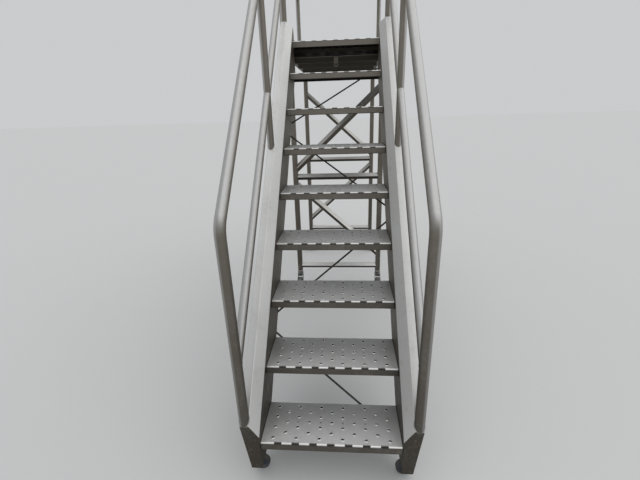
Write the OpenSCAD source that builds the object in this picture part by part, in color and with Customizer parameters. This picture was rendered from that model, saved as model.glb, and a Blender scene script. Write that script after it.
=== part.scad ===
// Steep platform stair on wheels, folded from stainless sheet and tube.
// X runs across the flight, Y up the flight, Z up from the floor.
// The origin is on the floor, under the middle of the whole stair.

/* [Flight] */
// Height from one tread to the next
rise = 222.2; // [200:0.2:240]
// Run from one nosing to the next
going = 211; // [195:1:230]
// Treads below the platform
tread_count = 8; // [6:1:9]
// Clear width between the two stringers
clear_w = 600; // [560:10:800]

/* [Treads] */
// Depth of a tread, front to back
tread_d = 230; // [215:1:240]
// Height of the folded apron at the front and back of a tread
apron_h = 40; // [30:1:45]
// Width of the small flange folded in under each apron
lip_w = 15; // [8:1:20]
// Thickness of the tread, deck and toe board sheet
sheet = 3; // [2:0.5:4]
// Diameter of the grip holes
hole_d = 12; // [8:1:14]
// Width of the sloping collar that is pressed up round each grip hole
collar_w = 4; // [2:0.5:6]
// Height of that collar
collar_h = 1.2; // [0.5:0.1:3]
// Diameter of the small drain holes
drain_d = 6; // [3:1:8]
// Spacing of the grip holes across a tread
hole_pitch = 100; // [90:5:120]
// Rows of grip holes, front to back
hole_rows = 7; // [5:2:7]
// Width of each notch in a nosing
notch_w = 32; // [20:1:40]
// Spacing of the notches
notch_pitch = 75; // [60:5:90]
// How far a notch reaches back from the nosing
notch_d = 6; // [4:0.5:8]
// How far a notch reaches down from the top
notch_h = 5; // [3.5:0.5:8]

/* [Stringers] */
// Height of the inner fold above the line of the nosings, square to it
fold_up = 26; // [10:1:40]
// Height and width of the slanted face above the inner fold
slant = 42; // [30:1:50]
// Width of the flat top face
flat_w = 38; // [36:1:50]
// Depth of the stringer below the line of the nosings, square to it
back_down = 195; // [195:1:220]
// Width of the narrow face at the back
back_w = 27; // [24:1:34]
// Thickness of the stringer sheet
wall = 3; // [2:0.5:4]
// Height of the cut foot above the floor
foot_z = 80; // [78:1:100]
// How far the foot stands in front of the first nosing
foot_front = 5; // [2:1:10]
// Height above the platform where the flat top ends in a cut square to the flight
top_up = 126; // [110:1:140]
// How far the stringer runs on behind the platform's edge
top_run = 83; // [70:1:100]

/* [Stair rails] */
// Diameter of the handrail tube
rail_d = 42.4; // [38:0.1:48]
// Height of the handrail above the line of the nosings, square to it
rail_up = 650; // [600:5:700]
// Radius of the handrail's lower bend
low_bend_r = 100; // [80:5:130]
// Radius of the handrail's upper bend
high_bend_r = 80; // [70:5:100]
// Centre of the front post behind the first nosing
front_post_y = 12; // [8:1:16]
// Centre of the rear post in front of the stringer's end
rear_post_in = 26; // [22:1:40]
// Diameter of the knee rail and the baluster
knee_d = 38; // [30:1:42]
// Height of the knee rail above the line of the nosings, square to it
knee_up = 258; // [220:1:300]
// Place of the baluster along the flight, from the first nosing
baluster_y = 985; // [900:5:1050]
// Diameter of the tie rods under the flight
rod_d = 10; // [8:1:14]
// Run of one tie rod along the flight
rod_run = 383; // [360:1:390]
// Gap along the flight between the ends of two tie rods
rod_gap = 64; // [50:1:80]
// Where the row of tie rods begins behind the first nosing
rod_start = 107; // [100:1:120]
// Where the lowest tie rod itself begins, behind the cut foot
rod_low = 159; // [155:1:180]

/* [Tower] */
// Side of the square leg tubes
leg = 40; // [35:1:50]
// Distance between the near and the far legs
tower_run = 1074; // [900:10:1300]
// Side of the square cross rails, which lie on a corner
bar = 38; // [30:1:42]
// Height of the low cross rails
low_bar_z = 255; // [245:5:300]
// Height of the middle cross rails
mid_bar_z = 1035; // [990:5:1080]
// Side of the square diagonal braces, which lie on a corner
brace = 38; // [25:1:40]
// Height that a brace climbs from leg to leg
brace_climb = 581; // [540:1:600]
// Height from the middle cross rail to the braces' nearer ends
brace_off = 72; // [65:1:90]
// Side of the square cross beams under the platform, which lie on a corner
beam = 50; // [40:1:55]
// Depth of the platform's sheet pan
deck_h = 60; // [50:1:70]
// Height of the centre lug under the near cross beam's ridge
lug_h = 70; // [50:1:80]
// Width of the centre lug
lug_w = 32; // [25:1:40]
// Height of the toe boards
toe_h = 100; // [80:5:120]

/* [Guard rails] */
// Height of the guard above the platform
guard_h = 1100; // [1000:10:1150]
// Height of the guard's knee rail above the platform
guard_knee_h = 545; // [480:5:600]
// Diameter of the guard tube
guard_d = 38; // [34:0.5:42]
// Diameter of the guard's knee rail
guard_knee_d = 33.7; // [28:0.1:34]
// Bend radius of the guard tube
guard_bend_r = 80; // [60:5:120]
// Gap between the platform's side and a guard post, filled by a plate
plate_t = 4; // [3:0.5:8]
// Centre of the near guard post behind the stringer's end
guard_near = 79; // [60:1:120]
// Length of a guard post's plate
plate_w = 60; // [50:1:80]

/* [Front wheels] */
// Diameter of a front wheel
front_d = 75; // [65:1:75]
// Width of a front tyre
front_w = 24; // [20:1:26]
// Centre of the front wheels outside the stringer's inner face
front_in = 21; // [20:1:22]
// Centre of the front wheels behind the first nosing
front_y = 66; // [60:1:70]
// Width of a front cheek plate
cheek_w = 18; // [14:1:18]
// Thickness of a front tyre's rubber
front_rubber = 11; // [9:1:13]
// How far the brackets reach up into the open feet
cheek_in = 14; // [12:1:18]
// Diameter of all axles
axle_d = 10; // [8:1:12]

/* [Castors] */
// Diameter of a castor wheel
castor_d = 150; // [135:1:155]
// Width of a castor wheel
castor_w = 34; // [30:1:38]
// Thickness of a castor tyre's rubber
castor_rubber = 18; // [14:1:22]
// Height of the castor's fixing face above the floor
castor_z = 197; // [190:1:205]
// Distance from the swivel's axis to the axle
trail = 45; // [38:1:48]
// Thickness of the fork's plates
fork_t = 4; // [3:0.5:5]
// Diameter of the swivel head
head_d = 48; // [44:1:50]
// Diameter of the kingpin
pin_d = 12; // [10:1:14]

/* [Hidden] */
$fn = 48;
// Running gaps: radial in a bore, at the swivel's faces, and beside a wheel
bore_gap = 0.05;
seat_gap = 0.3;
hub_gap = 1;
side_gap = 3;
// How much thinner a tube's radius is in a bend, and how far a straight run laps over it
bend_draw = 0.1;
bend_lap = 0.3;

slope = atan2(rise, going);
deck_z = (tread_count + 1) * rise;
deck_y = tread_count * going;
half_w = clear_w / 2;
post_x = half_w + slant + flat_w / 2;
flat_up = fold_up + slant;
outer_w = slant + flat_w;
string_end = deck_y + top_run;
top_z = deck_z + top_up;

leg_x = half_w + outer_w / 2;
near_y = string_end + leg / 2;
far_y = near_y + tower_run;
beam_top = deck_z - deck_h;
side_z = beam_top - leg / 2;
ridge_z = beam_top - beam / sqrt(2);
leg_plate_t = 6;
deck_half = leg_x + leg / 2 + sheet;
deck_end = far_y + leg / 2 + sheet;
guard_x = deck_half + plate_t + guard_d / 2;
guard_y = [string_end + guard_near, far_y];

// Holes in the fuller of the staggered rows, and the platform's ribs, the last one at its far edge
grip_count = 2 * floor((clear_w / 2 - hole_d) / hole_pitch + 0.5);
deck_row = 2 * tread_d / (hole_rows + 1);
ribs = 4;
function rib_y(i) = string_end + i * (deck_end - string_end) / ribs;

whole_front = min(-foot_front, front_post_y - rail_d / 2);
whole_back = max(deck_end, far_y + bar / sqrt(2), far_y - trail + castor_d / 2);
mid_y = (whole_front + whole_back) / 2;

// Height of a line that runs parallel to the flight, square offset `up` above the nosings
function line_z(y, up) = rise + y * tan(slope) + up / cos(slope);

// Where the stringer's flat top ends
top_y = (top_z - line_z(0, flat_up)) / tan(slope);

// The stringer's section: [across from the inner face, above the nosing line]
STRINGER = [[0, -back_down], [back_w, -back_down], [outer_w, flat_up], [slant, flat_up],
    [0, fold_up]];

// Where the lines a-b and c-d cross
function cross_point(a, b, c, d) =
    let (u = b - a, v = d - c, k = ((c[0] - a[0]) * v[1] - (c[1] - a[1]) * v[0]) / (u[0] * v[1] - u[1] * v[0]))
    a + k * u;

// The point p moved to the left of the direction u by t
function left_of(p, u, t) = p + t * [-u[1], u[0]] / norm(u);

// An outline drawn anticlockwise, with each side moved in by t
function inset(p, t) = [for (i = [0 : len(p) - 1])
    let (a = p[(i + len(p) - 1) % len(p)], b = p[i], c = p[(i + 1) % len(p)])
    cross_point(left_of(a, b - a, t), left_of(b, b - a, t), left_of(b, c - b, t), left_of(c, c - b, t))];

// Everything is measured from the first nosing, and then centred on the floor
module set_down() {
    translate([0, -mid_y, 0]) children();
}

// A flat shape drawn as [y, z], made w wide about the plane x
module slab(x, w) {
    translate([x - w / 2, 0, 0]) rotate([90, 0, 90]) linear_extrude(w) children();
}

// A frame that lies on the nosing line: x across, y square to the flight, -z up the flight
module on_flight() {
    translate([0, 0, rise]) rotate([90 + slope, 0, 0]) children();
}

function turn(u, v) = atan2(u[0] * v[1] - u[1] * v[0], u * v);

// A tube laid out like a bender makes it: a straight run, a bend, and so on in the bent end's frame.
// Each bend is drawn in a little, and the runs lap over its ends
module tube_run(d, runs, bends, radii, i = 0) {
    last = i == len(bends);
    lap_0 = i == 0 ? 0 : bend_lap;
    lap_1 = last ? 0 : bend_lap;
    translate([-lap_0, 0, 0]) rotate([0, 90, 0]) cylinder(h = runs[i] + lap_0 + lap_1, d = d);
    if (!last) translate([runs[i], 0]) {
        side = sign(bends[i]);
        translate([0, side * radii[i]]) {
            mirror([0, side < 0 ? 1 : 0]) rotate(-90) rotate_extrude(angle = abs(bends[i]))
                translate([radii[i], 0]) circle(d = d - 2 * bend_draw);
            rotate(bends[i]) translate([0, -side * radii[i]]) tube_run(d, runs, bends, radii, i + 1);
        }
    }
}

// A round tube in the upright plane x. The corners are [y, z], and each inner one has a bend radius
module bent_tube(x, d, path, radii = []) {
    n = len(path);
    way = [for (i = [0 : n - 2]) path[i + 1] - path[i]];
    bends = [for (i = [1 : 1 : n - 2]) round(100 * turn(way[i - 1], way[i])) / 100];
    cut = concat([0], [for (i = [0 : 1 : n - 3]) radii[i] * tan(abs(bends[i]) / 2)], [0]);
    runs = [for (i = [0 : n - 2]) norm(way[i]) - cut[i] - cut[i + 1]];
    translate([x, path[0][0], path[0][1]]) rotate([90, 0, 90]) rotate(atan2(way[0][1], way[0][0]))
        tube_run(d, runs, bends, radii);
}

// The long folded box of one stringer, with its walls moved in by t
module stringer_band(t) {
    run = norm([string_end, deck_z]) + 2 * back_down;
    on_flight() translate([half_w, 0, -run]) linear_extrude(run + 2 * back_down)
        polygon(inset(STRINGER, t));
}

// The side view of a stringer's cuts, moved in by t: upright at the front and the end, level at the
// foot, and square to the flight where the flat top ends
module stringer_cuts(t, low) {
    up = [cos(slope), sin(slope)];
    across = [up[1], -up[0]];
    corner = [top_y, top_z] - t * up;
    high = corner - outer_w * across;
    slab(half_w + outer_w / 2, outer_w + 2) polygon([[t - foot_front, low], [string_end - t, low],
        corner + (string_end - t - corner[0]) / across[0] * across, high, [t - foot_front, high[1]]]);
}

// One hollow stringer: closed at the front and the top, open under its foot
module stringer() {
    difference() {
        intersection() {
            stringer_band(0);
            stringer_cuts(0, foot_z);
        }
        intersection() {
            stringer_band(wall);
            stringer_cuts(wall, foot_z - 1);
        }
    }
}

module stringer_left() {
    color([0.72, 0.72, 0.71]) set_down() mirror([1, 0, 0]) stringer();
}

module stringer_right() {
    color([0.72, 0.72, 0.71]) set_down() stringer();
}

// A row of n places, centred on x = 0
module row(y, n) {
    for (i = [0 : n - 1]) translate([(i - (n - 1) / 2) * hole_pitch, y, 0]) children();
}

// Grip places in rows that alternate between two counts
module grip_rows(y0, rows, pitch) {
    for (r = [1 : rows]) row(y0 + r * pitch, grip_count - (r + 1) % 2) children();
}

// A sheet's own solid, with collars pressed up and holes punched through in a staggered pattern
module punched(y0, rows, pitch) {
    difference() {
        union() {
            children();
            grip_rows(y0, rows, pitch) cylinder(h = collar_h, d1 = hole_d + 2 * collar_w, d2 = hole_d + 1);
        }
        grip_rows(y0, rows, pitch) translate([0, 0, -2 * sheet]) cylinder(h = 3 * sheet + collar_h, d = hole_d);
        row(y0 + ceil(rows / 2) * pitch, grip_count - 2)
            translate([0, 0, -2 * sheet]) cylinder(h = 3 * sheet, d = drain_d);
    }
}

// The notches along a nosing at y = 0, z = 0
module nosing_notches() {
    side = floor((half_w - notch_w) / notch_pitch);
    for (i = [-side : side])
        translate([i * notch_pitch - notch_w / 2, -1, -notch_h]) cube([notch_w, notch_d + 1, notch_h + 1]);
}

// A tread: a pan folded down at the front and the back, with a flange under each apron
module tread(i) {
    color([0.6, 0.6, 0.6]) set_down() translate([0, (i - 1) * going, i * rise]) difference() {
        punched(0, hole_rows, tread_d / (hole_rows + 1))
            slab(0, clear_w) polygon([[0, -apron_h], [0, 0], [tread_d, 0], [tread_d, -apron_h],
                [tread_d - lip_w, -apron_h], [tread_d - lip_w, sheet - apron_h],
                [tread_d - sheet, sheet - apron_h], [tread_d - sheet, -sheet], [sheet, -sheet],
                [sheet, sheet - apron_h], [lip_w, sheet - apron_h], [lip_w, -apron_h]]);
        nosing_notches();
    }
}

// The platform's sheet: a tongue between the stringers, notched like a tread, and the floor behind it
module deck() {
    inner = deck_half - sheet;
    rows = floor((rib_y(ribs) - deck_y) / deck_row) - 1;
    color([0.6, 0.6, 0.6]) set_down() translate([0, 0, deck_z]) difference() {
        punched(deck_y, rows, deck_row) {
            translate([-half_w, deck_y, -sheet]) cube([clear_w, string_end - deck_y, sheet]);
            translate([-inner, string_end, -sheet]) cube([2 * inner, deck_end - string_end, sheet]);
            translate([-half_w, deck_y, -apron_h]) cube([clear_w, sheet, apron_h]);
        }
        translate([0, deck_y, 0]) nosing_notches();
    }
}

// Upright plates across under the platform's sheet, the last one closing its far edge
module deck_ribs() {
    inner = deck_half - sheet;
    color([0.56, 0.56, 0.56]) set_down() for (i = [1 : ribs])
        translate([-inner, rib_y(i) - sheet, deck_z - deck_h]) cube([2 * inner, sheet, deck_h - sheet]);
}

// Side boards of the platform, which hang down beside its ribs and stand up as toe boards
module toe_boards() {
    color([0.66, 0.66, 0.66]) set_down()
        for (x = [-deck_half, deck_half - sheet]) translate([x, string_end, deck_z - deck_h])
            cube([sheet, deck_end - string_end, deck_h + toe_h]);
}

// A square tube on its corner, which runs along X between the inner faces of the legs
module cross_bar(y, z, size) {
    span = 2 * leg_x - leg;
    translate([0, y, z]) rotate([45, 0, 0]) cube([span, size, size], center = true);
}

// The tubes that carry the platform's sides, leg to leg
module side_beams() {
    color([0.55, 0.54, 0.53]) set_down()
        for (side = [-1, 1]) translate([side * leg_x - leg / 2, near_y + leg / 2, side_z - leg / 2])
            cube([leg, tower_run - leg, leg]);
}

// Four tubes across under the platform, the outer two with a ridge in line with the legs' outer faces
module cross_beams() {
    first = string_end + beam / sqrt(2);
    last = far_y + leg / 2 - beam / sqrt(2);
    color([0.5, 0.49, 0.48]) set_down()
        for (i = [0 : 3]) cross_bar(first + i * (last - first) / 3, ridge_z, beam);
}

// A flat lug that hangs from the near one's ridge, cut on its top edge to fit the tube's lower face
module centre_lug() {
    lug_t = 2 * sheet;
    color([0.5, 0.49, 0.48]) set_down() translate([0, string_end, ridge_z]) difference() {
        slab(0, lug_w) polygon([[0, -lug_h], [lug_t, -lug_h], [lug_t, -lug_t], [0, 0]]);
        translate([0, -1, lug_w / 2 - lug_h]) rotate([-90, 0, 0]) cylinder(h = lug_t + 2, d = lug_w / 2);
    }
}

// A pair of legs, each on a foot plate for its castor
module leg_pair(y) {
    color([0.55, 0.54, 0.53]) set_down() for (side = [-1, 1]) translate([side * leg_x, y, castor_z]) {
        translate([-leg / 2, -leg / 2, 0]) cube([leg, leg, beam_top - castor_z]);
        translate([-head_d / 2, -head_d / 2, 0]) cube([head_d, head_d, leg_plate_t]);
    }
}

module rail_pair(y) {
    color([0.55, 0.54, 0.53]) set_down() for (z = [low_bar_z, mid_bar_z]) cross_bar(y, z, bar);
}

// A diagonal tube on its corner, which climbs from z0 at one leg and is cut upright at both
module diagonal(y, z0, side) {
    span = 2 * leg_x - leg;
    reach = norm([span, brace_climb]) + 2 * brace;
    intersection() {
        translate([-span / 2, y - brace, z0 - brace]) cube([span, 2 * brace, brace_climb + 2 * brace]);
        translate([0, y, z0 + brace_climb / 2]) rotate([0, -side * atan2(brace_climb, span), 0])
            rotate([45, 0, 0]) cube([reach, brace, brace], center = true);
    }
}

// Two diagonals in the plane of a leg pair, above and below its middle rail, which slope opposite ways
module brace_pair(y, side) {
    color([0.5, 0.49, 0.48]) set_down() {
        diagonal(y, mid_bar_z + brace_off, side);
        diagonal(y, mid_bar_z - brace_off - brace_climb, -side);
    }
}

// Thin rods that zigzag from stringer to stringer, welded under their back faces. The last one runs on
// to the inner face of a near leg
module tie_rods() {
    off = -back_down - rod_d / 2;
    end_x = half_w + back_w / 2;
    leg_in = leg_x - leg / 2;
    pitch = rod_run + rod_gap;
    count = floor((string_end - rod_start + rod_gap) / pitch + 0.5);
    color([0.35, 0.34, 0.33]) set_down() intersection() {
        translate([-leg_in, 0, 0]) cube([2 * leg_in, far_y, deck_z]);
        on_flight() for (i = [0 : count - 1]) {
            last = i == count - 1;
            y0 = rod_start + i * pitch;
            y1 = last ? near_y + (leg - rod_d) / 2 : y0 + rod_run;
            side = i % 2 == 0 ? 1 : -1;
            a = [side * end_x, -(max(y0, rod_low) + off * sin(slope)) / cos(slope)];
            b = [-side * (last ? leg_in + rod_d : end_x), -(y1 + off * sin(slope)) / cos(slope)];
            translate([a[0], off, a[1]]) rotate([0, atan2(b[0] - a[0], b[1] - a[1]), 0])
                cylinder(h = norm(b - a), d = rod_d);
        }
    }
}

function rear_post_y() = string_end - rear_post_in;

// The whole tube of a handrail, run on into the stringer at both ends
module rail_tube(x) {
    bent_tube(x, rail_d, [[front_post_y, foot_z], [front_post_y, line_z(front_post_y, rail_up)],
        [rear_post_y(), line_z(rear_post_y(), rail_up)], [rear_post_y(), deck_z]],
        [low_bend_r, high_bend_r]);
}

// What lies below the stringer's top faces, where posts are cut off to stand on it
module below_flat() {
    far = string_end + rail_d;
    near = -foot_front - rail_d;
    slab(post_x, 2 * rail_d) polygon([[near, 0], [far, 0], [far, top_z - (far - top_y) / tan(slope)],
        [top_y, top_z], [near, line_z(near, flat_up)]]);
}

// A handrail: one tube bent down at both ends, standing on the stringer
module handrail() {
    color([0.74, 0.74, 0.73]) set_down() difference() {
        rail_tube(post_x);
        below_flat();
    }
}

// A tube parallel to the flight, notched round the posts and the baluster it meets
module knee_rail() {
    color([0.74, 0.74, 0.73]) set_down() difference() {
        bent_tube(post_x, knee_d, [[front_post_y, line_z(front_post_y, knee_up)],
            [rear_post_y(), line_z(rear_post_y(), knee_up)]]);
        rail_tube(post_x);
        translate([post_x, baluster_y, 0]) cylinder(h = deck_z + rail_up, d = knee_d);
    }
}

// An upright tube between the stringer and the handrail
module baluster() {
    color([0.62, 0.6, 0.58]) set_down() difference() {
        translate([post_x, baluster_y, line_z(baluster_y, 0)])
            cylinder(h = rail_up / cos(slope), d = knee_d);
        below_flat();
        rail_tube(post_x);
    }
}

// A platform guard: one tube bent over both posts, carried outside the deck
module guard(x) {
    foot = deck_z - deck_h;
    color([0.74, 0.74, 0.73]) set_down()
        bent_tube(x, guard_d, [[guard_y[0], foot], [guard_y[0], deck_z + guard_h],
            [guard_y[1], deck_z + guard_h], [guard_y[1], foot]], [guard_bend_r, guard_bend_r]);
}

// The straight rails at knee height, notched into the guard posts
module guard_knee_rails() {
    color([0.74, 0.74, 0.73]) set_down() for (x = [-guard_x, guard_x]) difference() {
        bent_tube(x, guard_knee_d, [for (y = guard_y) [y, deck_z + guard_knee_h]]);
        for (y = guard_y) translate([x, y, deck_z]) cylinder(h = guard_h - guard_bend_r, d = guard_d);
    }
}

// Flat plates that carry the guard posts off the sides of the deck
module post_plates() {
    color([0.6, 0.6, 0.6]) set_down() for (side = [-1, 1]) for (y = guard_y)
        translate([side * (deck_half + plate_t / 2), min(y, deck_end - plate_w / 2), deck_z - deck_h / 2])
            cube([plate_t, plate_w, deck_h], center = true);
}

front_x = half_w + front_in;
hub_half = front_w / 2 + side_gap;
cheek_t = 4;
cheek_top = foot_z + cheek_in;

// Brackets inside the open feet, each with two cheeks, a bridge and the wheel's axle
module front_cheeks() {
    gap = hub_half + hub_gap;
    color([0.5, 0.5, 0.5]) set_down() for (side = [-1, 1])
        translate([side * front_x, front_y, 0]) {
            for (s = [-1, 1]) translate([0, s * (gap + cheek_t / 2), front_d / 2]) {
                rotate([90, 0, 0]) cylinder(h = cheek_t, d = cheek_w, center = true);
                translate([-cheek_w / 2, -cheek_t / 2, 0]) cube([cheek_w, cheek_t, cheek_top - front_d / 2]);
            }
            translate([-cheek_w / 2, -gap - cheek_t, cheek_top]) cube([cheek_w, 2 * (gap + cheek_t), cheek_t]);
            translate([side > 0 ? wall - front_in : -cheek_w / 2, -gap - cheek_t, cheek_top])
                cube([front_in - wall + cheek_w / 2, 2 * (gap + cheek_t), cheek_t]);
            translate([0, 0, front_d / 2]) rotate([90, 0, 0])
                cylinder(h = 2 * (gap + cheek_t) + cheek_t, d = axle_d, center = true);
        }
}

// A wheel centre turned about z: a bored hub, a thin web and a rim
module wheel_hub(rim_r, width, hub_len, hub_r) {
    bore = axle_d / 2 + bore_gap;
    rotate_extrude() polygon([[bore, -hub_len / 2], [hub_r, -hub_len / 2], [hub_r, -width / 5],
        [rim_r - 5, -width / 5], [rim_r - 4, -width / 2 + 2], [rim_r, -width / 2 + 2],
        [rim_r, width / 2 - 2], [rim_r - 4, width / 2 - 2], [rim_r - 5, width / 5],
        [hub_r, width / 5], [hub_r, hub_len / 2], [bore, hub_len / 2]]);
}

// A tyre turned about z, with rounded shoulders
module wheel_tyre(rim_r, r, width) {
    round = width / 5;
    rotate_extrude() {
        translate([rim_r, -width / 2]) square([r - round - rim_r, width]);
        translate([rim_r, round - width / 2]) square([r - rim_r, width - 2 * round]);
        for (s = [-1, 1]) translate([r - round, s * (width / 2 - round)]) circle(r = round);
    }
}

front_rim_r = front_d / 2 - front_rubber;

// Front wheels stand square to the flight, so their axles run along Y
module front_hub(side) {
    color([0.45, 0.5, 0.58]) set_down() translate([side * front_x, front_y, front_d / 2])
        rotate([90, 0, 0]) wheel_hub(front_rim_r, front_w, 2 * hub_half, axle_d);
}

module front_tyre(side) {
    color([0.07, 0.07, 0.07]) set_down() translate([side * front_x, front_y, front_d / 2])
        rotate([90, 0, 0]) wheel_tyre(front_rim_r, front_d / 2, front_w);
}

// Castors 1 to 4: near left, near right, far left, far right
CASTORS = [[-leg_x, near_y], [leg_x, near_y], [-leg_x, far_y], [leg_x, far_y]];
head_t = 10;
crown_t = 12;
boss_d = 26;
nut_h = 6;
castor_hub_r = 18;
castor_rim_r = castor_d / 2 - castor_rubber;
fork_gap = castor_w / 2 + side_gap;
crown_top = castor_z - head_t - seat_gap;
crown_low = crown_top - crown_t;

// The part of each castor that is bolted to its leg: a disc, the kingpin and its nut
module castor_heads() {
    nut_top = crown_low - seat_gap;
    color([0.6, 0.6, 0.62]) set_down() for (c = CASTORS) translate([c[0], c[1], 0]) {
        translate([0, 0, castor_z - head_t]) cylinder(h = head_t, d = head_d);
        translate([0, 0, nut_top]) cylinder(h = castor_z - nut_top, d = pin_d);
        translate([0, 0, nut_top - nut_h]) cylinder(h = nut_h, d = 1.6 * pin_d);
    }
}

// A swivelling fork: a crown bored for the kingpin, two plates and the axle
module castor_fork(i) {
    c = CASTORS[i - 1];
    axle_z = castor_d / 2;
    back = head_d / 2 - fork_t;
    front = fork_t / 2 - head_d / 2;
    plate_side = [[-trail - boss_d / 2, axle_z], [-trail + boss_d / 2, axle_z], [back, crown_low - fork_t],
        [back, crown_low], [front, crown_low], [-trail - boss_d / 4, crown_low - boss_d]];
    color([0.6, 0.6, 0.62]) set_down() translate([c[0], c[1], 0]) {
        difference() {
            union() {
                translate([0, 0, crown_low]) cylinder(h = crown_t, d = head_d);
                translate([-fork_gap - fork_t, front, crown_low])
                    cube([2 * (fork_gap + fork_t), back - front, fork_t]);
            }
            translate([0, 0, crown_low - 1]) cylinder(h = crown_t + 2, d = pin_d + 2 * bore_gap);
        }
        for (s = [-1, 1]) {
            slab(s * (fork_gap + fork_t / 2), fork_t) polygon(plate_side);
            translate([s * (fork_gap + fork_t / 2), -trail, axle_z]) rotate([0, 90, 0])
                cylinder(h = fork_t, d = boss_d, center = true);
        }
        translate([0, -trail, axle_z]) rotate([0, 90, 0])
            cylinder(h = 2 * (fork_gap + 2 * fork_t), d = axle_d, center = true);
    }
}

module castor_hub(i) {
    c = CASTORS[i - 1];
    color([0.3, 0.3, 0.31]) set_down() translate([c[0], c[1] - trail, castor_d / 2])
        rotate([0, 90, 0]) wheel_hub(castor_rim_r, castor_w, 2 * (fork_gap - hub_gap), castor_hub_r);
}

module castor_tyre(i) {
    c = CASTORS[i - 1];
    color([0.1, 0.1, 0.1]) set_down() translate([c[0], c[1] - trail, castor_d / 2])
        rotate([0, 90, 0]) wheel_tyre(castor_rim_r, castor_d / 2, castor_w);
}

stringer_left();
stringer_right();
for (i = [1 : tread_count]) tread(i);
deck();
deck_ribs();
toe_boards();
side_beams();
cross_beams();
centre_lug();
leg_pair(near_y);  // legs_near
leg_pair(far_y);  // legs_far
rail_pair(near_y);  // rails_near
rail_pair(far_y);  // rails_far
brace_pair(near_y, 1);  // braces_near
brace_pair(far_y, -1);  // braces_far
tie_rods();
mirror([1, 0, 0]) handrail();  // handrail_left
handrail();  // handrail_right
mirror([1, 0, 0]) knee_rail();  // knee_rail_left
knee_rail();  // knee_rail_right
mirror([1, 0, 0]) baluster();  // baluster_left
baluster();  // baluster_right
guard(-guard_x);  // guard_left
guard(guard_x);  // guard_right
guard_knee_rails();
post_plates();
front_cheeks();
front_hub(-1);  // front_hub_left
front_hub(1);  // front_hub_right
front_tyre(-1);  // front_tyre_left
front_tyre(1);  // front_tyre_right
castor_heads();
for (c = [1 : 4]) {
    castor_fork(c);
    castor_hub(c);
    castor_tyre(c);
}
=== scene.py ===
"""A steep platform stair on wheels, folded from stainless sheet and tube, as it stands in a yard."""
import math

import bmesh
import bpy
import numpy as np
from mathutils import Matrix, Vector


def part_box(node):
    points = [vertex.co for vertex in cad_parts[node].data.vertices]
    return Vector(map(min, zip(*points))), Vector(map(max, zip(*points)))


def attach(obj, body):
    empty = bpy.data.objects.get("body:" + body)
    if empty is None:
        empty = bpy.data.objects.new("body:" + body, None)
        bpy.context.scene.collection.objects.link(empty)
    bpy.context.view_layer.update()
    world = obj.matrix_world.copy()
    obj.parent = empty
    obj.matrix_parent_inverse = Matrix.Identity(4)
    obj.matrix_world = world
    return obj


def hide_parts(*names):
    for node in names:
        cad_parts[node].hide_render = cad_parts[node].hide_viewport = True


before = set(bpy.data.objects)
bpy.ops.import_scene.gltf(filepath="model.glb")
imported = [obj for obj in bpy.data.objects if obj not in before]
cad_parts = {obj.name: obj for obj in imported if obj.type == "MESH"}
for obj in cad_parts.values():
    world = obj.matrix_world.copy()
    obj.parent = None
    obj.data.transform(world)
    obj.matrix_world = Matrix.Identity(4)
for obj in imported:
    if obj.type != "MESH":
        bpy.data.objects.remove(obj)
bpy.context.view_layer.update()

# The stair is seen by someone standing a long step in front of it, a little to the right of its middle,
# who holds a wide lens at eye height and tips it down, so that the top of the guards is out of view.
EYE = (0.0696, -2.5658, 1.5446)
TURN_LEFT, TIP_DOWN, LEAN = 0.078, 0.347, -0.031
LENS, SENSOR = 20.25, 36.0

ahead = np.array([-math.sin(TURN_LEFT) * math.cos(TIP_DOWN), math.cos(TURN_LEFT) * math.cos(TIP_DOWN),
                  -math.sin(TIP_DOWN)])
level = np.array([math.cos(TURN_LEFT), math.sin(TURN_LEFT), 0.0])
over = np.cross(level, ahead)

camera = bpy.data.objects.new("camera", bpy.data.cameras.new("camera"))
camera.data.lens = LENS
camera.data.sensor_width = SENSOR
camera.data.clip_end = 200
stand = np.eye(4)
stand[:3, 0] = math.cos(LEAN) * level + math.sin(LEAN) * over
stand[:3, 1] = math.cos(LEAN) * over - math.sin(LEAN) * level
stand[:3, 2] = -ahead
stand[:3, 3] = EYE
camera.matrix_world = Matrix(stand.tolist())
link = bpy.context.scene.collection.objects.link
link(camera)
bpy.context.scene.camera = camera
bpy.context.scene.view_settings.view_transform = "Standard"

# The floor is a plain pale slab, which fades into a backdrop of the same tone. The day is overcast: most
# light comes evenly from all round, and the brighter part of the sky is one very wide, soft sun, which
# stands high to the right.
FLOOR_REACH = 60.0
FLOOR_TONE = (0.60, 0.60, 0.595)
SKY_TONE = (0.98, 1.00, 1.02)
SKY_LEVEL = 0.60
SUN_WIDTH, SUN_POWER, SUN_TILT = 1.75, 1.22, 0.42


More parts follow.
